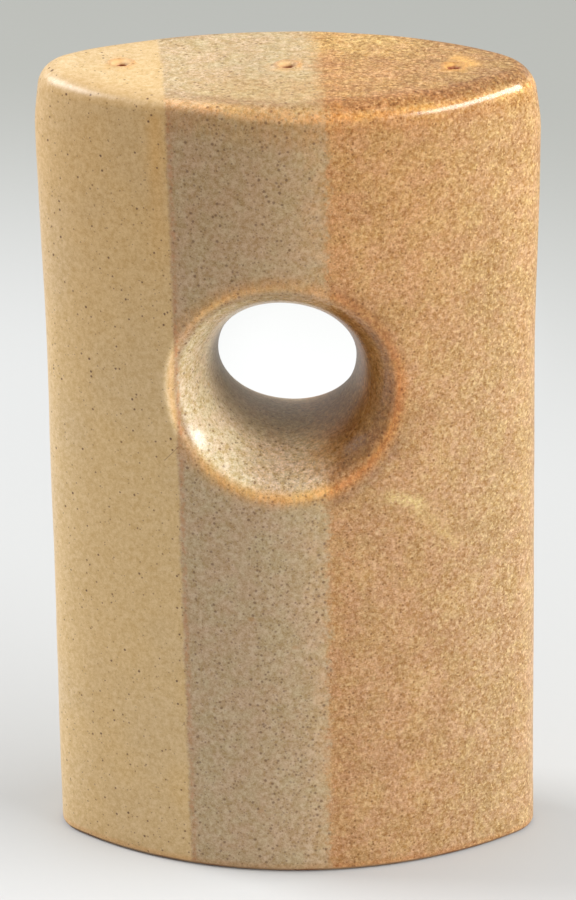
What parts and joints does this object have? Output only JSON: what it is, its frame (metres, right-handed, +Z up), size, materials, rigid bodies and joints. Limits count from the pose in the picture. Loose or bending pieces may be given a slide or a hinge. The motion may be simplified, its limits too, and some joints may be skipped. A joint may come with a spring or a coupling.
{
  "type": "pepper shaker",
  "caption": "Tall lens-shaped stoneware pepper shaker with a flared finger tunnel through its body, pouring holes in the flat top and a cork that pulls out of the base.",
  "frame": {"origin": "centre of the foot, in the plane that the shaker stands on", "axes": "+Z up, +X along the length of the lens towards the rust-glazed end, +Y along the tunnel, away from the side that the picture shows"},
  "size_m": [0.0648, 0.0328, 0.108],
  "materials": {
    "stoneware": "satin",
    "cork": "matte"
  },
  "bodies": {
    "shaker": {"stoneware_body": "stoneware"},
    "stopper": {"cork_stopper": "cork"}
  },
  "joints": [
    {"name": "stopper_pull", "type": "slide", "parent": "shaker", "child": "stopper", "axis": [0, 0, -1], "range_m": [0, 0.035]}
  ]
}
